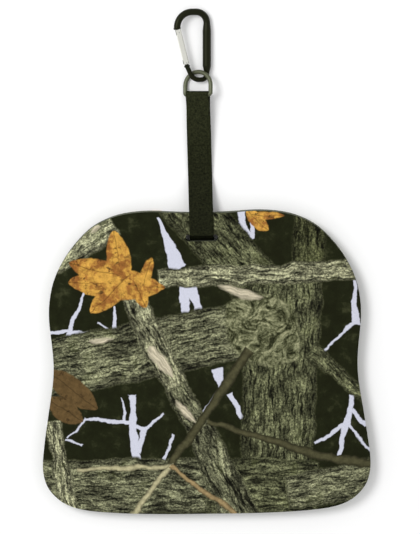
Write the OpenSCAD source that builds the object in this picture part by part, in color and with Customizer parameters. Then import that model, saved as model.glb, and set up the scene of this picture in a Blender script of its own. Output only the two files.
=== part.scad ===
// Foam field seat pad with a webbing hang loop, a D-ring and a spring-gate carabiner.
// Millimetres. The pad lies flat: +Z up, +Y towards the hang loop, +X to the right.
// The origin is the middle of the pad's underside.

/* [Pad] */
// Widest part of the pad, near its lower edge
pad_w = 355.6; // [250:0.1:450]
// Height of the pad, from the lower edge to the shoulders of the upper edge
pad_l = 330; // [230:1:420]
// Thickness of the whole pad, both cloth faces included
pad_t = 19; // [12:0.5:30]
// Thickness of each laminated cloth face
cloth_t = 0.6; // [0.4:0.1:1.5]

/* [Slot] */
// Length of the hang slot, across the pad
slot_w = 35.5; // [28:0.5:45]
// Width of the hang slot
slot_h = 7.4; // [5:0.1:12]
// Distance of the slot's centre above the pad's centre
slot_y = 136.3; // [100:0.1:150]
// Sideways offset of the slot and its webbing from the pad's centreline
slot_x = -2.5; // [-5:0.1:5]

/* [Webbing] */
// Width of the webbing
web_w = 26; // [20:0.5:38]
// Thickness of one layer of webbing
web_t = 1.6; // [1:0.1:2.5]
// Lean of the webbing to the left, in degrees
web_lean = 0.9; // [-3:0.1:3]
// Distance from the slot to the place where the loop's two layers meet
fold_t = 66; // [50:1:90]
// Distance from the slot to the D-ring's bar
ring_t = 153.7; // [120:0.1:180]

/* [D-ring] */
// Thickness of the ring's wire
ring_wire = 4.6; // [3:0.1:6]
// Clear width inside the ring
ring_inner = 25.2; // [24:0.1:40]
// Straight length of each leg, from the bar to the start of the arch
ring_leg = 9.6; // [5:0.1:20]
// Lean of the ring, right side up, in degrees
ring_roll = 24; // [0:1:40]
// Dip of the ring's arch below its bar, in degrees
ring_pitch = -10; // [-20:1:20]
// Turn of the ring in plan, in degrees
ring_yaw = 2; // [-15:1:15]
// Height of the ring's bar above the ground
ring_z = 10.4; // [5:0.1:20]

/* [Carabiner] */
// Radius of the straight back of the carabiner
back_r = 4.5; // [3:0.1:6]
// Radius of the arch over the nose
arch_r = 3.6; // [2.5:0.1:5]
// Radius of the thin lower bend
bend_r = 2.6; // [2:0.1:4]
// Height of the carabiner's centreline, from the lower bend to the arch
cara_l = 72.6; // [50:0.1:100]
// Lean of the carabiner, gate side up, in degrees
cara_roll = 15; // [0:1:30]
// Outer radius of the gate's tube
gate_r = 3.15; // [2.5:0.05:4]
// Wall of the gate's tube
gate_wall = 0.75; // [0.5:0.05:1.2]

/* [Hidden] */
eps = 0.01;

// One half of the pad's outline, from the middle of the upper edge round to the middle of the
// lower edge, as fractions of the half width and half height.
half_outline = [
    [0.000, 0.985], [0.160, 0.990], [0.330, 0.999], [0.480, 0.985], [0.600, 0.945], [0.700, 0.880],
    [0.790, 0.780], [0.862, 0.670], [0.915, 0.550], [0.941, 0.420], [0.946, 0.300], [0.936, 0.180],
    [0.926, 0.070], [0.923, -0.030], [0.930, -0.130], [0.947, -0.250], [0.968, -0.390],
    [0.987, -0.530], [0.998, -0.640], [0.996, -0.720], [0.976, -0.800], [0.930, -0.870],
    [0.855, -0.930], [0.740, -0.968], [0.560, -0.988], [0.360, -0.997], [0.180, -1.000],
    [0.000, -1.000]];
curve_steps = 3;

function mirrored(half) = concat(
    half,
    [for (i = [len(half) - 2 : -1 : 1]) [-half[i][0], half[i][1]]]);

// A point on the closed smooth curve through p, between points i and i + 1.
function smooth_point(p, i, t) =
    let (n = len(p), a = p[(i + n - 1) % n], b = p[i], c = p[(i + 1) % n], d = p[(i + 2) % n])
    0.5 * (2 * b + (c - a) * t + (2 * a - 5 * b + 4 * c - d) * t * t
           + (3 * b - a - 3 * c + d) * t * t * t);

function smooth(p) = [
    for (i = [0 : len(p) - 1])
        for (s = [0 : curve_steps - 1])
            smooth_point(p, i, s / curve_steps)];

outline = [for (q = smooth(mirrored(half_outline))) [q[0] * pad_w / 2, q[1] * pad_l / 2]];

// Hang loop. Distances along the webbing are measured from the slot's centre.
bridge_t = slot_h / 2;
edge_t = pad_l / 2 * half_outline[0][1] - slot_y;
web_gap = 0.1;
slot_gap = 0.35;
recess_w = web_w + 1.2;
recess_h = web_t + 0.15;
recess_past_edge = 6;
bend_steps = 6;
slot_bend_r = 1.2;
edge_bend_r = 5;
edge_bend_past = 0.5;
edge_bend_low = 38;
fold_gap = 0.3;
fold_end = fold_t - web_t - fold_gap;
fold_overlap = 3;
fold_rise = 0.4;
strap_steps = 6;
stitch_t = 0.5;
stitch_sink = 0.15;
stitch_first_t = 79;
stitch_last_t = 99;
stitch_half_w = 9;

// D-ring.
ring_r = ring_wire / 2;
ring_half = ring_inner / 2 + ring_r;
ring_corner = ring_r + 0.2;
eye_clear = 0.06;
eye_r = ring_r + eye_clear + web_t;
eye_w = ring_inner - 0.6;

// Carabiner, drawn in its own plane: u across, v up, the back at u = 0.
cara_x = 4.9;
cara_y = 306.4;
cara_z = 4.52;
cara_yaw = -0.6;
foot_v = -0.7;
foot_right_r = 6.2;
foot_left_r = 10.2;
foot_flat = 2.5;
link_bite = 0.7;
link_step = 0.1;
back_low = 14;
back_high = 52;
arch_right_r = 12;
arch_left_r = 16.2;
arch_flat = 4.5;
arch_sweep = 97;
arch_v = foot_v + cara_l;

// Gate, drawn along its own axis: x towards the back, y from the hinge pin to the nose.
hinge_u = -22.9;
hinge_v = 17.5;
gate_tilt = 14.1;
gate_low = -1.2;
gate_high = 37;
gate_bore_r = gate_r - gate_wall;
slot_t = 2.6;
slot_low_end = 3.4;
slot_high_end = 31.2;
tongue_t = 2.2;
tongue_w = 4;
tongue_high = 2.4;
collar_r = 3.1;
collar_high = -2.9;
collar_h = 1.4;
nose_low = 37.6;
nose_h = 2;
nose_r = arch_r + 0.3;
nose_shift = -0.5;
hook_low = 31.6;
hook_lip_h = 1.1;
hook_out = -2;
hook_neck_w = 1.15;
hook_lip_w = 2.9;
hinge_pin_r = 0.8;
latch_pin_r = 0.7;
latch_y = 33.6;
pin_len = 6.2;
pin_clear = 0.05;
plunger_r = 1.2;
plunger_head_r = 2;
plunger_low = 2.5;
plunger_neck = 3;
plunger_high = 7;
stop_low = 15.6;
stop_h = 1.4;
spring_wire_r = 0.35;
spring_r = 1.6;
spring_coils = 7;
round_fn = 64;
wire_fn = 40;
small_fn = 24;

cloth_color = [0.30, 0.29, 0.21];
foam_color = [0.27, 0.28, 0.22];
webbing_color = [0.17, 0.19, 0.11];
thread_color = [0.12, 0.14, 0.08];
ring_color = [0.33, 0.35, 0.27];
anodised_color = [0.11, 0.12, 0.06];
steel_color = [0.80, 0.80, 0.76];

// ---- placing ----

// Along the webbing: x across it, y from the slot's centre towards the ring.
module on_webbing() {
    translate([slot_x, slot_y, 0])
        rotate([0, 0, web_lean])
            children();
}

// The ring's own plane: bar along x through the origin, arch towards +y.
module on_ring() {
    on_webbing()
        translate([0, ring_t, ring_z])
            rotate([0, 0, ring_yaw])
                rotate([0, -ring_roll, 0])
                    rotate([ring_pitch, 0, 0])
                        children();
}

module on_carabiner() {
    translate([cara_x, cara_y, cara_z])
        rotate([0, 0, cara_yaw])
            rotate([0, cara_roll, 0])
                children();
}

// The gate's axis as +y, from the hinge pin to the nose, +x towards the back.
module on_gate() {
    on_carabiner()
        translate([hinge_u, hinge_v, 0])
            rotate([0, 0, gate_tilt])
                children();
}

// ---- pad ----

module slot_shape() {
    half = slot_w / 2 - slot_h / 2;
    translate([-half, -slot_h / 2])
        square([2 * half, slot_h]);
    for (side = [-1, 1])
        translate([side * half, 0])
            circle(r = slot_h / 2, $fn = round_fn);
}

module pad_shape() {
    difference() {
        polygon(outline);
        translate([slot_x, slot_y])
            slot_shape();
    }
}

// The webbing's rear layer lies in this shallow channel, from the slot to the upper edge.
module recess(grow_side, low, high) {
    on_webbing()
        translate([-recess_w / 2 - grow_side, 0, low])
            cube([recess_w + 2 * grow_side, edge_t + recess_past_edge, high - low]);
}

module foam_core() {
    color(foam_color)
        difference() {
            translate([0, 0, cloth_t])
                linear_extrude(pad_t - 2 * cloth_t)
                    pad_shape();
            recess(cloth_t, 0, recess_h + cloth_t);
        }
}

module front_cover() {
    color(cloth_color)
        translate([0, 0, pad_t - cloth_t])
            linear_extrude(cloth_t)
                pad_shape();
}

module back_cover() {
    color(cloth_color)
        difference() {
            union() {
                linear_extrude(cloth_t)
                    pad_shape();
                intersection() {
                    linear_extrude(recess_h + cloth_t)
                        pad_shape();
                    recess(cloth_t, 0, recess_h + cloth_t);
                }
            }
            recess(0, -1, recess_h);
        }
}

// ---- webbing ----

function arc_points(c, r, a0, a1) = [
    for (i = [0 : bend_steps])
        let (a = a0 + (a1 - a0) * i / bend_steps)
        [c[0] + r * cos(a), c[1] + r * sin(a)]];

// Direction of an open line at point i.
function line_dir(line, i) =
    let (a = line[max(i - 1, 0)], b = line[min(i + 1, len(line) - 1)], d = b - a)
    d / norm(d);

function line_side(line, d) = [
    for (i = [0 : len(line) - 1])
        let (t = line_dir(line, i))
        [line[i][0] - t[1] * d, line[i][1] + t[0] * d]];

function reversed(p) = [for (i = [len(p) - 1 : -1 : 0]) p[i]];

// A strip of even thickness along an open line.
module strip(line, t) {
    polygon(concat(line_side(line, t / 2), reversed(line_side(line, -t / 2))));
}

// Side view of the loop round the strip of foam between the slot and the upper edge:
// the front layer, down through the slot, and the rear layer below the pad.
top_z = pad_t + web_gap + web_t / 2;
slot_bend_t = bridge_t - slot_gap - web_t / 2 + slot_bend_r;
wrap_line = concat(
    [[fold_end, web_t * 1.5], [fold_end - fold_overlap, web_t * 1.5 + fold_rise]],
    arc_points([edge_t + edge_bend_past, top_z - edge_bend_r], edge_bend_r, edge_bend_low, 90),
    arc_points([slot_bend_t, top_z - slot_bend_r], slot_bend_r, 90, 180),
    arc_points([slot_bend_t, web_t / 2 + slot_bend_r], slot_bend_r, 180, 270),
    [[fold_end, web_t / 2]]);

module webbing_wrap() {
    color(webbing_color)
        on_webbing()
            translate([-web_w / 2, 0, 0])
                rotate([90, 0, 90])
                    union() {
                        linear_extrude(web_w)
                            strip(wrap_line, web_t);
                        translate([fold_end - fold_overlap, 0, 0])
                            cube([fold_overlap, 2 * web_t, web_w]);
                    }
}

// How far a place on the hanging strap is along it, from 0 at the fold to 1 at the ring.
function strap_part(t) = (t - fold_t) / (ring_t - fold_t);
function strap_z(t) = web_t + (ring_z - web_t) * strap_part(t);
function strap_roll(t) = ring_roll * pow(strap_part(t), 2);

module on_strap(t) {
    on_webbing()
        translate([0, t, strap_z(t)])
            rotate([0, -strap_roll(t), 0])
                children();
}

module strap_slice(t, w) {
    on_strap(t)
        cube([w, eps, 2 * web_t], center = true);
}

// Both layers together, from the fold to the ring, turning with the ring towards the end.
module webbing_strap() {
    step = (ring_t - fold_t) / strap_steps;
    color(webbing_color)
        difference() {
            union() {
                on_strap(fold_t)
                    rotate([0, 90, 0])
                        cylinder(r = web_t, h = web_w, center = true, $fn = wire_fn);
                for (i = [0 : strap_steps - 1])
                    hull() {
                        strap_slice(fold_t + i * step, web_w);
                        strap_slice(fold_t + (i + 1) * step, i == strap_steps - 1 ? eye_w : web_w);
                    }
                on_ring()
                    rotate([0, 90, 0])
                        cylinder(r = eye_r, h = eye_w, center = true, $fn = round_fn);
            }
            on_ring()
                rotate([0, 90, 0])
                    cylinder(r = ring_r + eye_clear, h = web_w + 4, center = true, $fn = round_fn);
        }
}

// A sewn box that joins the webbing's overlapped ends.
module lap_stitches() {
    color(thread_color) {
        for (t = [stitch_first_t, stitch_last_t])
            on_strap(t)
                translate([-stitch_half_w, -stitch_t / 2, web_t - stitch_sink])
                    cube([2 * stitch_half_w, stitch_t, stitch_t]);
        for (side = [-1, 1])
            hull()
                for (t = [stitch_first_t, stitch_last_t])
                    on_strap(t)
                        translate([side * stitch_half_w - stitch_t / 2, -stitch_t / 2, web_t - stitch_sink])
                            cube([stitch_t, stitch_t, stitch_t]);
    }
}

// ---- round rods ----

// A rod between two points of the drawing plane, from radius r1 to radius r2.
module rod(p, q, r1, r2) {
    d = q - p;
    translate([p[0], p[1], 0])
        rotate([0, 0, atan2(d[1], d[0])])
            rotate([0, 90, 0])
                cylinder(r1 = r1, r2 = r2, h = norm(d), $fn = wire_fn);
}

// A bent rod round centre c, from angle a0 through the angle sweep.
module bend(c, bend_radius, a0, sweep, r) {
    translate([c[0], c[1], 0])
        rotate([0, 0, a0])
            rotate_extrude(angle = sweep, $fn = round_fn)
                translate([bend_radius, 0])
                    circle(r = r, $fn = wire_fn);
}

// A slightly thinner straight piece between two bends, which reaches a little way into both.
module link_rod(p, q) {
    d = (q - p) / norm(q - p) * link_bite;
    rod(p - d, q + d, bend_r - link_step, bend_r - link_step);
}

// ---- D-ring ----

module d_ring() {
    bar_half = ring_half - ring_corner;
    color(ring_color)
        on_ring() {
            rod([-bar_half, 0], [bar_half, 0], ring_r, ring_r);
            bend([bar_half, ring_corner], ring_corner, 270, 90, ring_r);
            bend([-bar_half, ring_corner], ring_corner, 180, 90, ring_r);
            rod([ring_half, ring_corner], [ring_half, ring_leg], ring_r, ring_r);
            rod([-ring_half, ring_corner], [-ring_half, ring_leg], ring_r, ring_r);
            bend([0, ring_leg], ring_half, 0, 180, ring_r);
        }
}

// ---- carabiner ----

foot_right = [-foot_right_r, foot_v + foot_right_r];
foot_left = [-foot_right_r - foot_flat, foot_v + foot_left_r];
arch_right = [-arch_right_r, arch_v - arch_right_r];
arch_left = [-arch_right_r - arch_flat, arch_v - arch_left_r];
collar_mid = collar_high - collar_h / 2;
collar_uv = [hinge_u - collar_mid * sin(gate_tilt), hinge_v + collar_mid * cos(gate_tilt)];
// The foot's left bend ends where its tangent passes through the collar.
to_collar = collar_uv - foot_left;
foot_end_a = atan2(to_collar[1], to_collar[0]) + acos(foot_left_r / norm(to_collar));
foot_end = foot_left + foot_left_r * [cos(foot_end_a), sin(foot_end_a)];

module carabiner_frame() {
    link_rod(collar_uv, foot_end);
    bend(foot_left, foot_left_r, foot_end_a, 270 - foot_end_a, bend_r);
    link_rod([foot_left[0], foot_v], [foot_right[0], foot_v]);
    bend(foot_right, foot_right_r, 270, 90, bend_r);
    rod([0, foot_right[1]], [0, back_low], bend_r, back_r);
    rod([0, back_low], [0, back_high], back_r, back_r);
    rod([0, back_high], [0, arch_right[1]], back_r, arch_r);
    bend(arch_right, arch_right_r, 0, 90, arch_r);
    rod([arch_right[0], arch_v], [arch_left[0], arch_v], arch_r, arch_r);
    bend(arch_left, arch_left_r, 90, arch_sweep, arch_r);
}

// A plate in the drawing plane, w by h, with its lower left corner at x, y.
module plate(x, y, w, h, t) {
    translate([x, y, -t / 2])
        cube([w, h, t]);
}

module pin_hole(y, r) {
    translate([0, y, 0])
        cylinder(r = r, h = 4 * gate_r, center = true, $fn = wire_fn);
}

module carabiner_body() {
    color(anodised_color)
        difference() {
            union() {
                on_carabiner()
                    carabiner_frame();
                on_gate() {
                    rod([0, collar_high - collar_h], [0, collar_high], collar_r, collar_r);
                    plate(-tongue_w / 2, collar_high - eps, tongue_w, tongue_high - collar_high, tongue_t);
                    rod([nose_shift, nose_low], [nose_shift, nose_low + nose_h], nose_r, nose_r);
                    plate(hook_out, hook_low, hook_neck_w, nose_low - hook_low + eps, tongue_t);
                    plate(hook_out, hook_low, hook_lip_w, hook_lip_h, tongue_t);
                }
            }
            on_gate()
                pin_hole(0, hinge_pin_r + pin_clear);
        }
}

module gate_tube() {
    color(steel_color)
        on_gate()
            difference() {
                rod([0, gate_low], [0, gate_high], gate_r, gate_r);
                rod([0, gate_low - 1], [0, stop_low], gate_bore_r, gate_bore_r);
                rod([0, stop_low + stop_h], [0, gate_high + 1], gate_bore_r, gate_bore_r);
                plate(-2 * gate_r, gate_low - 1, 4 * gate_r, slot_low_end - gate_low + 1, slot_t);
                plate(-2 * gate_r, slot_high_end, 4 * gate_r, gate_high - slot_high_end + 1, slot_t);
                pin_hole(0, hinge_pin_r);
                pin_hole(latch_y, latch_pin_r);
            }
}

module gate_hinge_pin() {
    color(steel_color)
        on_gate()
            cylinder(r = hinge_pin_r, h = pin_len, center = true, $fn = wire_fn);
}

module gate_latch_pin() {
    color(steel_color)
        on_gate()
            translate([0, latch_y, 0])
                cylinder(r = latch_pin_r, h = pin_len, center = true, $fn = wire_fn);
}

// The push rod that the spring holds against the flat end of the tongue.
module gate_plunger() {
    color(steel_color)
        on_gate() {
            rod([0, plunger_low], [0, plunger_low + plunger_neck], plunger_r, plunger_r);
            rod([0, plunger_low + plunger_neck - eps], [0, plunger_high], plunger_head_r, plunger_head_r);
        }
}

// The closing spring, drawn as separate coils between the push rod and the stop in the tube.
module gate_spring() {
    low = plunger_high + spring_wire_r + pin_clear;
    pitch = (stop_low - spring_wire_r - pin_clear - low) / (spring_coils - 1);
    color(steel_color)
        on_gate()
            for (i = [0 : spring_coils - 1])
                translate([0, low + i * pitch, 0])
                    rotate([90, 0, 0])
                        rotate_extrude($fn = small_fn)
                            translate([spring_r, 0])
                                circle(r = spring_wire_r, $fn = small_fn / 2);
}

foam_core();
front_cover();
back_cover();
webbing_wrap();
webbing_strap();
lap_stitches();
d_ring();
carabiner_body();
gate_tube();
gate_hinge_pin();
gate_latch_pin();
gate_plunger();
gate_spring();
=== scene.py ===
import math

import bmesh
import bpy
import numpy as np
from mathutils import Matrix, Vector, noise
from mathutils.geometry import delaunay_2d_cdt


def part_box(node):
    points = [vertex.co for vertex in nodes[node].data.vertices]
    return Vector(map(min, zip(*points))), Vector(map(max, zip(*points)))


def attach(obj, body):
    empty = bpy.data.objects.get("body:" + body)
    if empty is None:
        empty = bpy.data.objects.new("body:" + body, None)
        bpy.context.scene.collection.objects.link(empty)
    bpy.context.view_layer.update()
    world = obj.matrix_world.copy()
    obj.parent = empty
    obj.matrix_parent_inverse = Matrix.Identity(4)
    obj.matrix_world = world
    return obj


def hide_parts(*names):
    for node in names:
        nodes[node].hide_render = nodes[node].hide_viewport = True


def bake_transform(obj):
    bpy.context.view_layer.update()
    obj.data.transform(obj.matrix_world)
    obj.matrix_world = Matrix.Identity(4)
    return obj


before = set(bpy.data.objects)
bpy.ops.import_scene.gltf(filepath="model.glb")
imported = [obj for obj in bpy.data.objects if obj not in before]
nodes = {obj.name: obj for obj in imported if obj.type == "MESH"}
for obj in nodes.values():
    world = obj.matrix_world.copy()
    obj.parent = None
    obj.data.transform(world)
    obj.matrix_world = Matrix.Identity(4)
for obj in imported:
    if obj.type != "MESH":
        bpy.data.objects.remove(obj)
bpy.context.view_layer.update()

# ---- sizes, in metres ----

MM = 0.001
PAD_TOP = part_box("front_cover")[1][2]
COVER_T = 0.6 * MM
# The pad's soft rim, on the upper face. The underside has a part of it.
RIM_DROP = 1.3 * MM
RIM_WIDTH = 5 * MM
LOW_RIM_PART = 0.6
# Slow waves in the upper face, at full height this far in from the rim.
WAVE = 0.35 * MM
WAVE_SIZE = 70 * MM
WAVE_FULL = 30 * MM
# The dent under the webbing, its slope past the webbing's edge, how far inside that edge the slope
# starts, and where it sets in along the webbing. Then the channel in the underside.
DENT = 0.9 * MM
DENT_REACH = 9 * MM
DENT_INSIDE = 2 * MM
DENT_SETS_IN = (-2 * MM, 6 * MM)
CHANNEL_DEPTH = 1.75 * MM
CHANNEL_SPARE = 1.2 * MM
# The sheet's points: rows inset from the edge, then a grid that keeps clear of edge and slot.
EDGE_ROWS = (1.2 * MM, 2.6 * MM)
GRID = 4.5 * MM
GRID_FROM_EDGE = 4.5 * MM
GRID_FROM_SLOT = 2 * MM
MERGE_WITHIN = 1e-7
# Edges steeper than this, in degrees, stay sharp.
SHARP_ABOVE = 40

WEB_W = 26 * MM
WEB_T = 1.5 * MM
RIB_PITCH = 1.25 * MM
RIB_DEPTH = 0.07 * MM
# Sections of the strip for each rib.
SECTIONS_PER_RIB = 3
# The strip's rounded edge: its radius, its points in degrees, and the points across each face.
EDGE_ROLL = 0.5 * MM
EDGE_ANGLES = (55, 20, -20, -55)
FACE_POINTS = 22
# The ribs show on the section's points that are this far out, as a part of its thickness.
FACE_FROM = 0.3
# Points of the curve between two places of the loop's line.
CURVE_STEPS = 12

# Where the hang loop lies. Places that end in _T are distances along it from the slot's middle.
SLOT_Y = 136.3 * MM
SLOT_X = -2.5 * MM
WEB_LEAN = math.radians(0.9)
EDGE_T = 162.5 * MM - SLOT_Y
FOLD_T = 66 * MM
RING_T = 153.7 * MM
RING_Z = 10.4 * MM
RING_ROLL = math.radians(24)
BAR_R = 2.3 * MM
SLOT_HALF = 3.7 * MM
# Every point of the slot's outline lies this near its middle, and no other point does.
SLOT_REACH = 25 * MM
# The strap's middle height where it leaves the pad.
STRAP_Z = 1.6 * MM


# ---- small mesh helpers ----


def link(obj):
    bpy.context.scene.collection.objects.link(obj)
    return obj


def mesh_object(name, points, faces, material, smooth=True):
    """A new object with this mesh, smooth shaded unless told otherwise."""
    mesh = bpy.data.meshes.new(name)
    mesh.from_pydata([tuple(p) for p in points], [], faces)
    mesh.validate()
    mesh.polygons.foreach_set("use_smooth", [smooth] * len(mesh.polygons))
    mesh.materials.append(material)
    mesh.update()
    return link(bpy.data.objects.new(name, mesh))


def fix_normals(obj):
    """Turns every face outwards."""
    bm = bmesh.new()
    bm.from_mesh(obj.data)
    bmesh.ops.recalc_face_normals(bm, faces=bm.faces)
    bm.to_mesh(obj.data)
    bm.free()


def sharp_by_angle(obj, degrees):
    """Edges steeper than this stay sharp."""
    limit = math.radians(degrees)
    bm = bmesh.new()
    bm.from_mesh(obj.data)
    for e in bm.edges:
        e.smooth = len(e.link_faces) == 2 and e.calc_face_angle(0) < limit
    bm.to_mesh(obj.data)
    bm.free()


# ---- node shaders ----


# Surface inputs whose names differ from the keyword.
SURFACE_INPUTS = {"base_color": "Base Color", "specular_level": "Specular IOR Level"}


class Shader:
    """Builds a material's node tree from short calls. Every value is a number or a socket."""

    def __init__(self, name):
        self.material = bpy.data.materials.new(name)
        self.material.use_nodes = True
        self.tree = self.material.node_tree
        self.tree.nodes.clear()
        self.out = self.tree.nodes.new("ShaderNodeOutputMaterial")
        self.bsdf = self.tree.nodes.new("ShaderNodeBsdfPrincipled")
        self.tree.links.new(self.bsdf.outputs[0], self.out.inputs["Surface"])

    def put(self, socket, value):
        if isinstance(value, bpy.types.NodeSocket):
            self.tree.links.new(value, socket)
        elif value is not None:
            socket.default_value = value[:3] if socket.type == "VECTOR" else value

    def node(self, kind, inputs=(), **settings):
        n = self.tree.nodes.new(kind)
        for key, value in settings.items():
            setattr(n, key, value)
        for key, value in dict(inputs).items():
            self.put(n.inputs[key], value)
        return n

    def vector(self, op, a, b, c=None):
        return self.node("ShaderNodeVectorMath", {0: a, 1: b, 2: c}, operation=op).outputs[0]

    def math(self, op, a, b=None, c=None, clamp=False):
        return self.node("ShaderNodeMath", {0: a, 1: b, 2: c}, operation=op, use_clamp=clamp).outputs[0]

    def mix(self, factor, a, b):
        """Colours a and b, mixed."""
        n = self.node("ShaderNodeMix", {0: factor}, data_type="RGBA")
        self.put(n.inputs[6], a)
        self.put(n.inputs[7], b)
        return n.outputs[2]

    def mix_vector(self, factor, a, b):
        n = self.node("ShaderNodeMix", {0: factor}, data_type="VECTOR")
        self.put(n.inputs[4], a)
        self.put(n.inputs[5], b)
        return n.outputs[1]

    def mix_value(self, factor, a, b):
        n = self.node("ShaderNodeMix", {0: factor}, data_type="FLOAT")
        self.put(n.inputs[2], a)
        self.put(n.inputs[3], b)
        return n.outputs[0]

    def shaded(self, rgb, light):
        """A colour times a brightness."""
        return self.node("ShaderNodeVectorMath", {0: rgb, "Scale": light}, operation="SCALE").outputs[0]

    def object_mm(self):
        """The place on the object, in millimetres."""
        place = self.node("ShaderNodeTexCoord").outputs["Object"]
        return self.scaled(place, (1000, 1000, 1000))

    def scaled(self, vector, scale):
        return self.node("ShaderNodeMapping", {"Vector": vector, "Scale": scale}).outputs[0]

    def noise(self, vector, scale, detail=3.0, rough=0.5, color=False, distortion=0.0):
        n = self.node(
            "ShaderNodeTexNoise",
            {"Vector": vector, "Scale": scale, "Detail": detail, "Roughness": rough,
             "Distortion": distortion},
        )
        return n.outputs["Color" if color else "Fac"]

    def ramp(self, factor, stops):
        """A colour ramp. Each stop is (place, (r, g, b))."""
        n = self.node("ShaderNodeValToRGB", {0: factor})
        marks = n.color_ramp.elements
        while len(marks) < len(stops):
            marks.new(0.5)
        for mark, (place, rgb) in zip(marks, stops):
            mark.position = place
            mark.color = (*rgb, 1)
        return n.outputs[0]

    def range(self, value, low, high, to_low=0.0, to_high=1.0):
        """The value, carried smoothly from low..high to to_low..to_high."""
        inputs = {0: value, 1: low, 2: high, 3: to_low, 4: to_high}
        return self.node("ShaderNodeMapRange", inputs, interpolation_type="SMOOTHSTEP").outputs[0]

    def bump(self, height, strength, distance):
        inputs = {"Height": height, "Strength": strength, "Distance": distance}
        return self.node("ShaderNodeBump", inputs).outputs[0]

    def surface(self, **values):
        """Sets the surface shader's inputs, and returns the finished material."""
        for key, value in values.items():
            name = SURFACE_INPUTS.get(key, key.capitalize())
            self.put(self.bsdf.inputs[name], solid(value) if isinstance(value, tuple) else value)
        return self.material


# How bright a white sheet on the floor comes out. A surface's own colour is its look over this.
LIGHT_GAIN = 1.14


def seen(r, g, b):
    """The colour of a surface that looks like this in the scene's light, on a screen's 0 to 255."""
    linear = (((v / 255 + 0.055) / 1.055) ** 2.4 if v > 10 else v / 255 / 12.92 for v in (r, g, b))
    return tuple(v / LIGHT_GAIN for v in linear)


def solid(rgb):
    """The colour, opaque."""
    return (*rgb, 1)


# ---- the printed woodland cloth ----

BARK_DARK = seen(62, 64, 42)
BARK_MID = seen(84, 86, 62)
BARK_GREY = seen(98, 99, 76)
BARK_LIGHT = seen(124, 124, 98)
STICK_DARK = seen(74, 72, 50)
STICK_PALE = seen(172, 166, 130)
STICK_TAN = seen(150, 130, 92)
GROUND_DARK = seen(28, 30, 15)
GROUND = seen(33, 36, 19)
MOSS = seen(70, 74, 44)
LEAF_GOLD = seen(212, 162, 74)
LEAF_RUST = seen(150, 98, 48)
LEAF_BROWN = seen(98, 78, 48)
LEAF_SPOT = seen(58, 44, 26)
PALE_WOOD = seen(214, 204, 176)
TWIG_WHITE = seen(208, 210, 224)
KNOT_TONES = [
    (0.36, seen(34, 36, 20)),
    (0.47, seen(84, 86, 60)),
    (0.56, seen(128, 130, 98)),
    (0.7, seen(186, 184, 144)),
]

# Branches: start, end (mm from the pad's middle), half width at each end, colour, streak seed.
BRANCHES = [
    ((113, 172), (113, 104), 17, 17, BARK_DARK, 3.1),
    ((-162, 112), (-100, 150), 13, 15, BARK_LIGHT, 5.2),
    ((-22, 178), (46, 96), 29, 29, BARK_MID, 1.0),
    ((88, 92), (75, -116), 40, 39, BARK_MID, 7.7),
    ((-46, 94), (185, 100), 10, 11, BARK_LIGHT, 2.4),
    ((-190, -8), (46, 37), 33, 31, BARK_GREY, 9.3),
    ((-80, 82), (-58, 26), 12, 14, BARK_LIGHT, 4.6),
    ((-62, 36), (-26, -36), 14, 13, BARK_LIGHT, 6.8),
    ((-32, -28), (0, -84), 12, 15, BARK_GREY, 8.1),
    ((-190, -134), (-8, -134), 31, 31, BARK_GREY, 2.9),
    ((10, -136), (110, -138), 34, 30, BARK_MID, 5.9),
    ((92, -142), (190, -126), 18, 24, BARK_GREY, 3.3),
    ((-6, -74), (36, -170), 15, 21, BARK_GREY, 8.8),
    ((-166, -62), (-150, -158), 9, 9, BARK_LIGHT, 1.7),
    ((116, 10), (172, -38), 10, 7, BARK_MID, 3.8),
]

# Pale bare twigs: start, end, half width at each end.
TWIGS = [
    ((-50, 159), (-28, 105), 1, 9),
    ((-21, 83), (-22, 51), 6, 3),
    ((-15, 83), (-7, 56), 6, 3.6),
    ((-98, 64), (-97, 35), 1, 3.4),
    ((-127, 88), (-149, 30), 0.9, 2.6),
    ((-168, 36), (-149, 38), 1.8, 1.8),
    ((-147, 36), (-122, 35), 1.6, 0.9),
    ((-117, 45), (-102, 38), 0.7, 0.7),
    ((40, 166), (42, 147), 3.8, 3.4),
    ((39, 152), (52, 136), 3.2, 1.4),
    ((52, 152), (51, 137), 2.4, 2.6),
    ((161, 88), (163, 42), 1.6, 4.2),
    ((161, 43), (128, 12), 1.7, 1),
    ((-80, -33), (-76, -104), 3.4, 5),
    ((-73, -97), (-67, -73), 3.6, 2.2),
    ((-67, -73), (-47, -56), 1.9, 1),
    ((-67, -73), (-82, -63), 2, 2),
    ((-82, -63), (-131, -58), 2.2, 1.1),
    ((-131, -58), (-150, -80), 1, 0.8),
    ((-152, -82), (-136, -87), 1, 1),
    ((-88, -61), (-91, -37), 1.8, 0.6),
    ((-35, -79), (-47, -103), 1.4, 1.8),
    ((12, -31), (-6, -54), 0.9, 0.9),
    ((14, -8), (17, -27), 6, 3),
    ((26, -34), (39, -59), 3.4, 2.2),
    ((159, -38), (153, -66), 2.8, 3.6),
    ((153, -64), (143, -104), 4, 2.2),
    ((153, -67), (118, -88), 2.6, 1.1),
    ((159, -52), (172, -68), 2, 2.8),
    ((155, -69), (177, -99), 1.5, 1),
]

# Round sticks that lie over everything: start, end, half width at each end, colour.
STICKS = [
    ((2, -63), (126, -103), 3, 5, STICK_DARK),
    ((120, -101), (182, -112), 5, 4, STICK_DARK),
    ((-40, -111), (47, 12), 4, 6, STICK_DARK),
    ((-38, -112), (-140, -114), 3, 2.4, STICK_PALE),
    ((-40, -112), (-81, -166), 2.6, 3.6, STICK_PALE),
    ((-40, -112), (30, -166), 2.2, 3, STICK_TAN),
]

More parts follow.
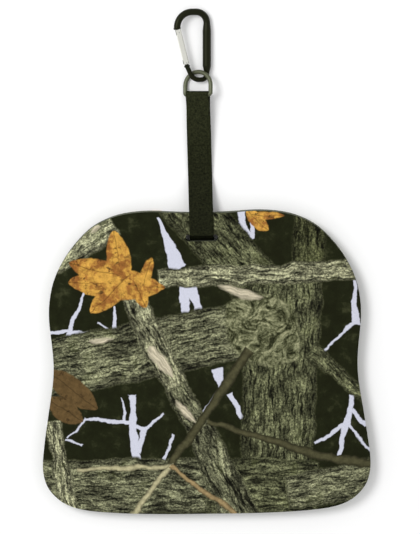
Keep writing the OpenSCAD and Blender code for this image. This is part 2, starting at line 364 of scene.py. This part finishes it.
# Leaf lobes: base, tip, widest half width, colour.
LOBES = [
    ((-148, 91), (-42, 84), 17, LEAF_GOLD),
    ((-88, 82), (-97, 144), 14, LEAF_GOLD),
    ((-78, 92), (-146, 112), 13, LEAF_GOLD),
    ((-80, 98), (-123, 56), 12, LEAF_GOLD),
    ((-70, 78), (-56, 117), 7, LEAF_GOLD),
    ((-77, 92), (-63, 62), 8, LEAF_GOLD),
    ((45, 166), (70, 144), 8, LEAF_GOLD),
    ((50, 161), (86, 160), 5, LEAF_GOLD),
    ((-172, -6), (-117, -48), 14, LEAF_BROWN),
    ((-172, -36), (-134, -62), 13, LEAF_BROWN),
]

# Peeled patches on the branches: middle, half length, half width, turn in degrees.
PATCHES = [
    ((-49, 3), 22, 8, -54),
    ((-23, -52), 17, 5, -52),
    ((-112, 27), 15, 4, 8),
    ((38, 78), 26, 6, -18),
    ((-116, 146), 7, 4, 40),
]

# The knotty growth on the large trunk: end, end, widest half width.
KNOT = ((24, 66), (100, 6), 40)


# How far an outline wanders from its straight axis, in mm, for wood and for leaves.
WOOD_WANDER = (13, 13, 0)
LEAF_WANDER = (9, 9, 0)
# How far the wandering and the faces over the middle line can carry a shape past it, in mm.
PRINT_MARGIN = 14
# How soft a shape's outline is, in mm.
BRANCH_EDGE = 2.5
KNOT_EDGE = 6
PATCH_EDGE = 3
LEAF_EDGE = 1.5
STICK_EDGE = 0.9
# Below 1 a lobe is full and blunt, at 1 it is slender.
LOBE_POWER = 0.7
# How far one seed is from the next, in the noise.
SEED_STEP = 37


def local_place(s, place, start, end, seed):
    """The place seen from a shape's axis (x along it from its start, y across it, z a seed), then
    how far along the axis it is, and how far off it."""
    along = math.atan2(end[1] - start[1], end[0] - start[0])
    turned = Matrix.Rotation(-along, 3, "Z") @ Vector((start[0], start[1], 0))
    inputs = {
        "Vector": place,
        "Rotation": (0, 0, -along),
        "Location": (-turned.x, -turned.y, seed * SEED_STEP),
    }
    local = s.node("ShaderNodeMapping", inputs).outputs[0]
    xyz = s.node("ShaderNodeSeparateXYZ", {0: local})
    return local, xyz.outputs[0], s.math("ABSOLUTE", xyz.outputs[1])


def strip_mask(s, x, across, length, w0, w1, soft):
    """1 inside a strip that tapers from half width w0 to w1, with a soft edge, and how deep inside."""
    half = s.math("MULTIPLY_ADD", x, (w1 - w0) / length, w0)
    side = s.math("SUBTRACT", half, across)
    ends = s.math("MINIMUM", x, s.math("SUBTRACT", length, x))
    depth = s.math("MINIMUM", side, s.math("ADD", ends, w0 * 0.3))
    return s.math("MULTIPLY_ADD", depth, 1 / soft, 0.5, clamp=True), s.math("DIVIDE", side, half)


def lobe_mask(s, x, across, length, widest, soft):
    """1 inside a leaf lobe, pointed at both ends."""
    t = s.math("DIVIDE", x, length, clamp=True)
    bulge = s.math("POWER", s.math("MULTIPLY", t, s.math("SUBTRACT", 1, t)), LOBE_POWER)
    depth = s.math("SUBTRACT", s.math("MULTIPLY", bulge, widest * 4**LOBE_POWER), across)
    return s.math("MULTIPLY", depth, 1 / soft, clamp=True)


def shows_on(side, start, end, reach):
    """Whether a shape reaches the left (-1) or right (1) half of the print."""
    return max(side * start[0], side * end[0]) > -reach - PRINT_MARGIN


def bark_layer(s, side, bent, lichen):
    """The branches' colour, and a mask that is 1 where a branch lies."""
    place = s.scaled(bent, (0.3, 0.3, 1))
    tone = solid(BARK_DARK)
    here = 0.0
    depth = 0.5
    for start, end, w0, w1, branch_tone, seed in BRANCHES:
        if not shows_on(side, start, end, max(w0, w1)):
            continue
        local, x, across = local_place(s, bent, start, end, seed)
        mask, inside = strip_mask(s, x, across, math.dist(start, end), w0, w1, BRANCH_EDGE)
        place = s.mix_vector(mask, place, local)
        tone = s.mix(mask, tone, solid(branch_tone))
        here = s.math("MAXIMUM", here, mask)
        depth = s.mix_value(mask, depth, inside)

    streaks = s.noise(s.scaled(place, (0.05, 0.3, 1)), 1.0, 7, 0.75)
    cracks = s.noise(s.scaled(place, (0.07, 0.5, 1)), 1.0, 4, 0.6)
    blotch = s.noise(place, 0.045, 4, 0.6)
    light = s.range(streaks, 0.38, 0.64, 0.1, 2.0)
    light = s.math("MULTIPLY", light, s.range(lichen, 0.36, 0.64, 0.3, 2.1))
    light = s.math("MULTIPLY", light, s.range(blotch, 0.34, 0.64, 0.45, 1.5))
    light = s.math("MULTIPLY", light, s.range(cracks, 0.4, 0.47, 0.4, 1.0))
    light = s.math("MULTIPLY", light, s.range(depth, 0.0, 0.35, 0.4, 1.0))
    bark = s.shaded(tone, light)
    moss = s.range(blotch, 0.56, 0.66, 0.0, 0.4)
    return s.mix(moss, bark, solid(MOSS)), here


def add_knot(s, side, color, bent, lichen):
    """The colour so far, with the knotty growth over it."""
    base, tip, widest = KNOT
    if not shows_on(side, base, tip, widest):
        return color
    _, x, across = local_place(s, bent, base, tip, 1.0)
    mask = lobe_mask(s, x, across, math.dist(base, tip), widest, KNOT_EDGE)
    curls = s.noise(bent, 0.045, 4, 0.7, distortion=2.6)
    grain = s.math("MULTIPLY_ADD", s.math("SUBTRACT", lichen, 0.5), 0.5, curls)
    return s.mix(mask, color, s.ramp(grain, KNOT_TONES))


def add_patches(s, side, color, bent):
    """The colour so far, with the peeled patches over it."""
    for middle, half_l, half_w, turn in PATCHES:
        dx = half_l * math.cos(math.radians(turn))
        dy = half_l * math.sin(math.radians(turn))
        start = (middle[0] - dx, middle[1] - dy)
        end = (middle[0] + dx, middle[1] + dy)
        if not shows_on(side, start, end, half_w):
            continue
        local, x, across = local_place(s, bent, start, end, 2.0)
        mask = lobe_mask(s, x, across, 2 * half_l, half_w, PATCH_EDGE)
        grain = s.range(s.noise(s.scaled(local, (0.05, 0.5, 1)), 1.0, 4, 0.6), 0.3, 0.7, 0.5, 1.15)
        color = s.mix(mask, color, s.shaded(solid(PALE_WOOD), grain))
    return color


def add_twigs(s, side, color, bent, open_ground):
    """The colour so far, with the pale twigs over it where no branch hides them."""
    for start, end, w0, w1 in TWIGS:
        if not shows_on(side, start, end, max(w0, w1)):
            continue
        _, x, across = local_place(s, bent, start, end, 1.0)
        mask, _ = strip_mask(s, x, across, math.dist(start, end), w0, w1, STICK_EDGE)
        color = s.mix(s.math("MULTIPLY", mask, open_ground), color, solid(TWIG_WHITE))
    return color


def add_leaves(s, side, color, bent, ragged, leaf_light):
    """The colour so far, with the leaves over it. Gold leaves rust in patches."""
    rust = s.range(s.noise(bent, 0.06, 5, 0.7), 0.42, 0.6)
    spots = s.range(s.noise(bent, 0.13, 5, 0.75), 0.56, 0.63, 0.0, 0.8)
    for base, tip, widest, tone in LOBES:
        if not shows_on(side, base, tip, widest):
            continue
        _, x, across = local_place(s, ragged, base, tip, 1.0)
        mask = lobe_mask(s, x, across, math.dist(base, tip), widest, LEAF_EDGE)
        shade = s.math("MULTIPLY", s.range(across, 0.1, 0.9, 0.55, 1.0), leaf_light)
        aged = s.mix(rust, solid(tone), solid(LEAF_RUST if tone == LEAF_GOLD else tone))
        leaf = s.shaded(s.mix(spots, aged, solid(LEAF_SPOT)), shade)
        color = s.mix(mask, color, leaf)
    return color


def add_sticks(s, side, color, bent, leaf_light):
    """The colour so far, with the round sticks over it."""
    for start, end, w0, w1, tone in STICKS:
        if not shows_on(side, start, end, max(w0, w1)):
            continue
        _, x, across = local_place(s, bent, start, end, 1.0)
        mask, inside = strip_mask(s, x, across, math.dist(start, end), w0, w1, STICK_EDGE)
        shade = s.math("MULTIPLY", s.range(inside, 0.0, 0.8, 0.45, 1.15), leaf_light)
        color = s.mix(mask, color, s.shaded(solid(tone), shade))
    return color


def woodland_cloth(name, side, flip=1):
    """Printed cloth with bark, bare twigs and leaves over a dark ground, for the left (-1) or
    right (1) half of the print. flip is -1 for the mirrored print of the underside."""
    s = Shader(name)
    place = s.object_mm()
    flat = s.scaled(place, (flip, 1, 0))
    wobble = s.noise(flat, 0.035, 4, 0.6, color=True)
    wobble = s.vector("SUBTRACT", wobble, (0.5, 0.5, 0.5))
    bent = s.vector("MULTIPLY_ADD", wobble, WOOD_WANDER, flat)
    ragged = s.vector("MULTIPLY_ADD", wobble, LEAF_WANDER, flat)
    leaf_light = s.range(s.noise(flat, 0.16, 5, 0.65), 0.25, 0.75, 0.7, 1.25)
    lichen = s.noise(flat, 0.42, 4, 0.8)

    litter = s.noise(bent, 0.055, 6, 0.7)
    ground = s.ramp(litter, [(0.42, GROUND_DARK), (0.56, GROUND), (0.72, BARK_DARK)])
    bark, bark_here = bark_layer(s, side, bent, lichen)
    color = s.mix(bark_here, ground, bark)
    color = add_knot(s, side, color, bent, lichen)
    color = add_patches(s, side, color, bent)
    color = add_twigs(s, side, color, bent, s.math("SUBTRACT", 1, bark_here))
    color = add_leaves(s, side, color, bent, ragged, leaf_light)
    color = add_sticks(s, side, color, bent, leaf_light)

    weave = s.noise(s.scaled(place, (2.4, 2.4, 2.4)), 1.0, 2, 0.6)
    color = s.shaded(color, s.range(weave, 0.3, 0.7, 0.85, 1.15))
    return s.surface(base_color=color, roughness=0.95, normal=s.bump(weave, 0.25, 0.0002),
                     specular_level=0.06)


# ---- other materials ----


def foam_material():
    """Olive-grey closed-cell foam, with its cells as fine bump."""
    s = Shader("closed_cell_foam")
    place = s.object_mm()
    cells = s.node("ShaderNodeTexVoronoi", {"Vector": place, "Scale": 1.3}).outputs["Distance"]
    tone = s.ramp(s.noise(place, 0.25, 4), [(0.3, seen(78, 82, 64)), (0.7, seen(98, 102, 82))])
    return s.surface(base_color=tone, roughness=0.9, normal=s.bump(cells, 0.35, 0.0003),
                     specular_level=0.25)


# The webbing's weave, in mm: twill stripes, where they turn back, and lengthwise threads.
TWILL_PITCH = 1.25
TWILL_TURN = 3.2
WARP_PITCH = 0.8


def webbing_material():
    """Dark olive webbing, with a painted highlight that makes it lighter towards the ring. Its weave
    follows the strip's own map, in mm along and across.
    """
    s = Shader("olive_webbing")
    uv = s.node("ShaderNodeTexCoord").outputs["UV"]
    place = s.object_mm()
    xyz = s.node("ShaderNodeSeparateXYZ", {0: s.scaled(uv, (1000, 1000, 1))})
    twill = s.math("ADD", xyz.outputs[0], s.math("PINGPONG", xyz.outputs[1], TWILL_TURN))
    weave = s.math("SINE", s.math("MULTIPLY", twill, 2 * math.pi / TWILL_PITCH))
    warp = s.math("SINE", s.math("MULTIPLY", xyz.outputs[1], 2 * math.pi / WARP_PITCH))
    both = s.math("MULTIPLY_ADD", warp, 0.5, weave)
    tone = s.ramp(s.noise(place, 0.5, 5, 0.7), [(0.35, seen(17, 19, 8)), (0.65, seen(47, 50, 30))])
    tone = s.shaded(tone, s.range(both, -1.4, 1.4, 0.6, 1.3))
    # Painted highlight: the webbing is darker near the pad and lighter towards the ring, where light
    # falls on the strap's twisted end.
    ring_end_highlight = s.range(s.node("ShaderNodeSeparateXYZ", {0: place}).outputs[1], 150, 290, 0.75, 1.25)
    tone = s.shaded(tone, ring_end_highlight)
    return s.surface(base_color=tone, roughness=0.85, normal=s.bump(both, 0.5, 0.00012),
                     specular_level=0.06)


def plain(name, rgb, roughness, metallic=0.0, grain=0.0, **more):
    """One colour, with a little fine grain in the surface."""
    s = Shader(name)
    place = s.object_mm()
    rough = s.range(s.noise(place, 0.4, 4), 0.3, 0.7, roughness - grain, roughness + grain)
    return s.surface(base_color=rgb, metallic=metallic, roughness=rough, **more)


thread_mat = plain("olive_thread", seen(26, 28, 14), 0.85, specular_level=0.06)
ring_mat = plain("ring_paint", seen(84, 88, 64), 0.36, metallic=0.35, grain=0.05)
anodised_mat = plain(
    "olive_anodised", seen(30, 32, 15), 0.42, metallic=0.6, grain=0.05, specular_level=0.2
)
gate_mat = plain("polished_gate", seen(250, 250, 240), 0.16, metallic=1.0, grain=0.03)
steel_mat = plain("bright_steel", seen(196, 196, 192), 0.25, metallic=1.0, grain=0.05)
foam_mat = foam_material()
webbing_mat = webbing_material()
front_cloth = [woodland_cloth("woodland_front_left", -1), woodland_cloth("woodland_front_right", 1)]
back_cloth = [
    woodland_cloth("woodland_back_left", 1, -1),
    woodland_cloth("woodland_back_right", -1, -1),
]


# ---- the pad ----


def pad_loops():
    """The pad's outer edge and its slot, as rings of (x, y), read from the CAD cover."""
    mesh = nodes["front_cover"].data
    places = {(round(v.co.x, 6), round(v.co.y, 6)) for v in mesh.vertices}
    near_slot = [p for p in places if math.dist(p, (SLOT_X, SLOT_Y)) < SLOT_REACH]
    outer = [p for p in places if p not in near_slot]

    def ring(points, cx, cy):
        return sorted(points, key=lambda p: math.atan2(p[1] - cy, p[0] - cx))

    return ring(outer, 0, 0), ring(near_slot, SLOT_X, SLOT_Y)


outer_loop, slot_loop = pad_loops()


def edge_distance(x, y, loop_array):
    """Distance from a place to the nearest piece of a closed ring."""
    a = loop_array
    ab = np.roll(a, -1, axis=0) - a
    p = np.array([x, y])
    t = np.clip(((p - a) * ab).sum(axis=1) / (ab * ab).sum(axis=1), 0, 1)
    return np.sqrt(((a + ab * t[:, None] - p) ** 2).sum(axis=1)).min()


def inside_ring(x, y, ring):
    """Whether a place lies inside a closed ring."""
    hit = False
    for (ax, ay), (bx, by) in zip(ring, ring[1:] + ring[:1]):
        if (ay > y) != (by > y) and x < ax + (y - ay) / (by - ay) * (bx - ax):
            hit = not hit
    return hit


def pad_sheet():
    """A triangulated sheet over the pad's outline, with the slot left out: its points, its faces,
    and each point's distance from the outer edge."""
    outer_array = np.array(outer_loop)
    slot_array = np.array(slot_loop)
    points = [Vector(p) for p in outer_loop + slot_loop]
    n, m = len(outer_loop), len(slot_loop)
    edges = [(i, (i + 1) % n) for i in range(n)] + [(n + i, n + (i + 1) % m) for i in range(m)]
    for k in range(n):
        here, after, before = outer_array[k], outer_array[(k + 1) % n], outer_array[k - 1]
        along = after - before
        inward = np.array([-along[1], along[0]]) / np.linalg.norm(along)
        points += [Vector(here + inward * d) for d in EDGE_ROWS]
    xs = np.arange(outer_array[:, 0].min(), outer_array[:, 0].max(), GRID)
    ys = np.arange(outer_array[:, 1].min(), outer_array[:, 1].max(), GRID)
    for row, y in enumerate(ys):
        for x in xs + (row % 2) * GRID / 2:
            if not inside_ring(x, y, outer_loop) or inside_ring(x, y, slot_loop):
                continue
            from_edge, from_slot = edge_distance(x, y, outer_array), edge_distance(x, y, slot_array)
            if from_edge > GRID_FROM_EDGE and from_slot > GRID_FROM_SLOT:
                points.append(Vector((x, y)))
    flat, _, faces, *_ = delaunay_2d_cdt(points, edges, [], 1, MERGE_WITHIN)
    kept = []
    for f in faces:
        cx = sum(flat[i].x for i in f) / len(f)
        cy = sum(flat[i].y for i in f) / len(f)
        if not inside_ring(cx, cy, slot_loop):
            kept.append(tuple(f))
    far = [edge_distance(p.x, p.y, outer_array) for p in flat]
    return [(p.x, p.y) for p in flat], kept, far


def web_local(x, y):
    """A place in the pad's plane as (across the webbing, along it from the slot)."""
    dx, dy = x - SLOT_X, y - SLOT_Y
    c, s = math.cos(WEB_LEAN), math.sin(WEB_LEAN)
    return dx * c + dy * s, -dx * s + dy * c


def smoothstep(a, b, v):
    """0 at a, 1 at b, and smooth between them."""
    t = min(max((v - a) / (b - a), 0), 1)
    return t * t * (3 - 2 * t)


def rim_drop(far):
    """How far the soft rim lies below the upper face's flat height."""
    return RIM_DROP * (1 - min(far / RIM_WIDTH, 1)) ** 2


def top_drop(x, y, far):
    """How far the upper face lies below its flat height: rim, slow waves and the webbing's dent."""
    wave = WAVE * noise.noise(Vector((x / WAVE_SIZE, y / WAVE_SIZE, 5)))
    across, along = web_local(x, y)
    press = 1 - smoothstep(WEB_W / 2 - DENT_INSIDE, WEB_W / 2 + DENT_REACH, abs(across))
    press *= smoothstep(*DENT_SETS_IN, along)
    return rim_drop(far) + abs(wave) * smoothstep(0, WAVE_FULL, far) + DENT * press


flat_points, flat_faces, rim_far = pad_sheet()


def open_edges(faces):
    """Each edge that only one face of a sheet has, in face order."""
    used = dict.fromkeys((a, b) for f in faces for a, b in zip(f, f[1:] + f[:1]))
    return [(a, b) for a, b in used if (b, a) not in used]


def slab(name, top_z, low_z, materials):
    """A closed slab over the pad's outline, between two height functions. A second material goes
    on the right half."""
    top = [(x, y, top_z(i, x, y)) for i, (x, y) in enumerate(flat_points)]
    low = [(x, y, low_z(i, x, y)) for i, (x, y) in enumerate(flat_points)]
    n = len(flat_points)
    faces = [tuple(f) for f in flat_faces] + [tuple(n + i for i in reversed(f)) for f in flat_faces]
    faces += [(b, a, n + a, n + b) for a, b in open_edges(flat_faces)]
    obj = mesh_object(name, top + low, faces, materials[0])
    for material in materials[1:]:
        obj.data.materials.append(material)
        for poly in obj.data.polygons:
            poly.material_index = int(poly.center.x > 0)
    fix_normals(obj)
    sharp_by_angle(obj, SHARP_ABOVE)
    return obj


def top_face(i, x, y):
    """The upper face's height at point i of the sheet."""
    return PAD_TOP - top_drop(x, y, rim_far[i])


def low_face(i, x, y):
    """The underside's height at point i of the sheet, with the webbing's channel pressed in."""
    across, along = web_local(x, y)
    channel = CHANNEL_DEPTH if abs(across) < WEB_W / 2 + CHANNEL_SPARE and along > 0 else 0
    return rim_drop(rim_far[i]) * LOW_RIM_PART + channel


front_skin = slab("front_skin", top_face, lambda i, x, y: top_face(i, x, y) - COVER_T, front_cloth)
foam_body = slab(
    "foam_body",
    lambda i, x, y: top_face(i, x, y) - COVER_T,
    lambda i, x, y: low_face(i, x, y) + COVER_T,
    [foam_mat],
)
back_skin = slab("back_skin", lambda i, x, y: low_face(i, x, y) + COVER_T, low_face, back_cloth)
for skin, cad in ((front_skin, "front_cover"), (foam_body, "foam_core"), (back_skin, "back_cover")):
    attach(skin, "pad")
    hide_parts(cad)


# ---- the webbing loop ----


def on_webbing(across, along, z):
    """A place given across and along the webbing, in the part's frame."""
    c, s = math.cos(WEB_LEAN), math.sin(WEB_LEAN)
    return Vector((SLOT_X + across * c - along * s, SLOT_Y + across * s + along * c, z))


def strap_part(along):
    """0 where the strap leaves the pad, 1 at the ring."""
    return min(max((along - FOLD_T) / (RING_T - FOLD_T), 0), 1)


def strap_roll(along):
    """The strap's twist, which grows towards the ring."""
    return RING_ROLL * strap_part(along) ** 2


def arc(cx, cz, r, a0, a1, steps):
    """Places round an arc, from angle a0 to a1 in degrees."""
    for i in range(steps + 1):
        a = math.radians(a0 + (a1 - a0) * i / steps)
        yield (cx + r * math.cos(a), cz + r * math.sin(a))


# Half the gap between the strip's two layers, and the gap to the foam and to the ring's bar.
LAYER_GAP = 0.05 * MM
WEB_GAP = 0.1 * MM
# The strip's bends at the slot's rim and over the pad's edge. The second one's centre lies a little
# before EDGE_T, and it ends at an angle in degrees.
SLOT_BEND_R = 1.2 * MM
EDGE_BEND_R = 4 * MM
EDGE_BEND_BACK = 2.4 * MM
EDGE_BEND_END = 42
# Points of the line: how far the two layers part before the bar, how they settle on each other at
# the fold as (along from it, extra height), and how far from the edge the low layer is pinned.
EYE_T = RING_T - 5 * MM
SETTLE = [(-4 * MM, 1.0 * MM), (3 * MM, 0.25 * MM)]
LOW_REACH = 6 * MM
STRAP_STEPS = 8

# The webbing's slack in the slot, from the underside up, as (along, height) in mm.
SLOT_BULGE = [(2.2, 0.95), (-1.1, 1.7), (-2.6, 4.0), (-2.4, 7.0), (-0.6, 10.5), (1.6, 13.5)]


def strap_line(side):
    """The strap's upper (1) or lower (-1) layer between the fold and the eye, as (along, height)."""
    rise = (RING_Z - STRAP_Z) / (RING_T - FOLD_T)
    for i in range(1, STRAP_STEPS):
        along = FOLD_T + (EYE_T - FOLD_T) * i / STRAP_STEPS
        yield along, STRAP_Z + (along - FOLD_T) * rise + side * (WEB_T / 2 + LAYER_GAP)


def loop_side_line():
    """The webbing's middle line seen from the side, as (along, height), once round the loop."""
    half = WEB_T / 2
    top = PAD_TOP - DENT + half + WEB_GAP
    slot_side = SLOT_HALF - WEB_GAP - half
    low = half + LAYER_GAP
    line = [(t * MM, z * MM) for t, z in SLOT_BULGE]
    line += arc(slot_side + SLOT_BEND_R, top - SLOT_BEND_R, SLOT_BEND_R, 180, 90, 5)
    line += arc(EDGE_T - EDGE_BEND_BACK, top - EDGE_BEND_R, EDGE_BEND_R, 90, EDGE_BEND_END, 6)
    line += [(FOLD_T + t, STRAP_Z + half + lift) for t, lift in SETTLE]
    line += strap_line(1)
    line += arc(RING_T, RING_Z, BAR_R + WEB_GAP + half, 110, -110, 12)
    line += reversed(list(strap_line(-1)))
    line += [(FOLD_T, low), (EDGE_T + LOW_REACH, low), (EDGE_T - LOW_REACH, low)]
    return line


def resample(line, step):
    """Points at even steps along a smooth closed curve through the line, and its length."""
    pts = np.array(line)
    n = len(pts)
    fine = []
    for i in range(n):
        p = [pts[(i + k) % n] for k in (-1, 0, 1, 2)]
        slope = p[2] - p[0]
        bend = 2 * p[0] - 5 * p[1] + 4 * p[2] - p[3]
        twist = 3 * p[1] - p[0] - 3 * p[2] + p[3]
        for t in np.linspace(0, 1, CURVE_STEPS, endpoint=False):
            fine.append(0.5 * (2 * p[1] + slope * t + bend * t * t + twist * t**3))
    fine = np.array(fine + [fine[0]])
    run = np.concatenate([[0], np.cumsum(np.linalg.norm(np.diff(fine, axis=0), axis=1))])
    want = np.linspace(0, run[-1], int(round(run[-1] / step)), endpoint=False)
    return np.stack([np.interp(want, run, fine[:, k]) for k in (0, 1)], axis=1), run[-1]


def webbing_section():
    """The webbing's cross-section, as (across, out) from the middle, once round."""
    half_w, half_t = WEB_W / 2, WEB_T / 2
    across = np.linspace(-half_w + EDGE_ROLL, half_w - EDGE_ROLL, FACE_POINTS)
    top = [(a, half_t) for a in across]
    right = [
        (half_w - EDGE_ROLL + EDGE_ROLL * math.cos(b), half_t * math.sin(b))
        for b in np.radians(EDGE_ANGLES)
    ]
    low = [(a, -half_t) for a in across[::-1]]
    left = [(-a, -o) for a, o in right]
    return top + right + low + left


def build_webbing():
    """The ribbed strip: its section carried round the loop's line, and twisted towards the ring."""
    line, length = resample(loop_side_line(), RIB_PITCH / SECTIONS_PER_RIB)
    section = webbing_section()
    n, m = len(line), len(section)
    points, uvs = [], []
    for i, (along, z) in enumerate(line):
        ahead = line[(i + 1) % n] - line[i - 1]
        ahead = ahead / np.linalg.norm(ahead)
        out = Vector((0, -ahead[1], ahead[0]))
        rib = RIB_DEPTH * math.sin(2 * math.pi * i / SECTIONS_PER_RIB)
        roll = strap_roll(along)
        middle = STRAP_Z + (RING_Z - STRAP_Z) * strap_part(along)
        for across, thick in section:
            on_face = abs(thick) > WEB_T * FACE_FROM
            lift = thick + math.copysign(rib, thick) if on_face else thick
            height = z + out.z * lift - middle
            turned_across = across * math.cos(roll) - height * math.sin(roll)
            turned_z = middle + across * math.sin(roll) + height * math.cos(roll)
            points.append(on_webbing(turned_across, along + out.y * lift, turned_z))
            uvs.append((i * length / n, across))
    faces = [
        (i * m + j, i * m + (j + 1) % m, ((i + 1) % n) * m + (j + 1) % m, ((i + 1) % n) * m + j)
        for i in range(n)
        for j in range(m)
    ]
    obj = mesh_object("webbing_loop", points, faces, webbing_mat)
    layer = obj.data.uv_layers.new(name="weave")
    for poly in obj.data.polygons:
        for loop, v in zip(poly.loop_indices, poly.vertices):
            layer.data[loop].uv = uvs[v]
    fix_normals(obj)
    return obj


webbing = build_webbing()
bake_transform(webbing)
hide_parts("webbing_wrap", "webbing_strap")


# ---- metal ----

for node, material in (
    ("lap_stitches", thread_mat),
    ("d_ring", ring_mat),
    ("carabiner_body", anodised_mat),
    ("gate_tube", gate_mat),
    ("gate_hinge_pin", steel_mat),
    ("gate_latch_pin", steel_mat),
    ("gate_plunger", steel_mat),
    ("gate_spring", steel_mat),
):
    data = nodes[node].data
    data.materials.clear()
    data.materials.append(material)


# ---- camera, light and floor ----

CAMERA_FAR = 3.5
CAMERA_TILT = math.radians(6.6)
CAMERA_ROLL = math.radians(0.65)
LOOK_AT = Vector((6 * MM, 103.8 * MM, 10 * MM))
FRAME_TALL = 0.576
SENSOR = 36.0
CAMERA_CLIP = 20

KEY_PLACE = Vector((-1.2, 0.9, 2.2))
KEY_AIM = Vector((0, 0.05, 0))
KEY_SIZE = 1.1
KEY_POWER = 34
WORLD_LIGHT = 0.78

PAPER = (0.93, 0.93, 0.93)
FLOOR_HALF = 3.0
FLOOR_DROP = 0.2 * MM


def add_camera():
    """A long lens, almost straight above the pad."""
    data = bpy.data.cameras.new("camera")
    data.sensor_width = SENSOR
    data.lens = SENSOR * CAMERA_FAR / FRAME_TALL
    data.clip_end = CAMERA_CLIP
    camera = link(bpy.data.objects.new("camera", data))
    back = Vector((0, math.sin(CAMERA_TILT), math.cos(CAMERA_TILT)))
    up = Vector((0, math.cos(CAMERA_TILT), -math.sin(CAMERA_TILT)))
    turn = Matrix.Rotation(-CAMERA_ROLL, 3, back)
    up = turn @ up
    right = up.cross(back)
    camera.matrix_world = Matrix.Translation(LOOK_AT + back * CAMERA_FAR) @ Matrix(
        (right, up, back)
    ).transposed().to_4x4()
    bpy.context.scene.camera = camera


def add_key_light():
    data = bpy.data.lights.new("key", "AREA")
    data.shape = "DISK"
    data.size = KEY_SIZE
    data.energy = KEY_POWER
    light = link(bpy.data.objects.new("key", data))
    light.location = KEY_PLACE
    light.rotation_euler = (KEY_AIM - KEY_PLACE).to_track_quat("-Z", "Y").to_euler()


def add_floor():
    s = Shader("white_paper")
    material = s.surface(base_color=PAPER, roughness=0.95, specular_level=0.1)
    half = FLOOR_HALF
    corners = [(-half, -half, 0), (half, -half, 0), (half, half, 0), (-half, half, 0)]
    floor = mesh_object("floor", corners, [(0, 1, 2, 3)], material, smooth=False)
    floor.location.z = -FLOOR_DROP


def add_world():
    world = bpy.data.worlds.new("world")
    world.use_nodes = True
    background = world.node_tree.nodes["Background"]
    background.inputs["Color"].default_value = (1, 1, 1, 1)
    background.inputs["Strength"].default_value = WORLD_LIGHT
    bpy.context.scene.world = world


bpy.context.scene.view_settings.view_transform = "Standard"
add_camera()
add_floor()
add_world()
add_key_light()
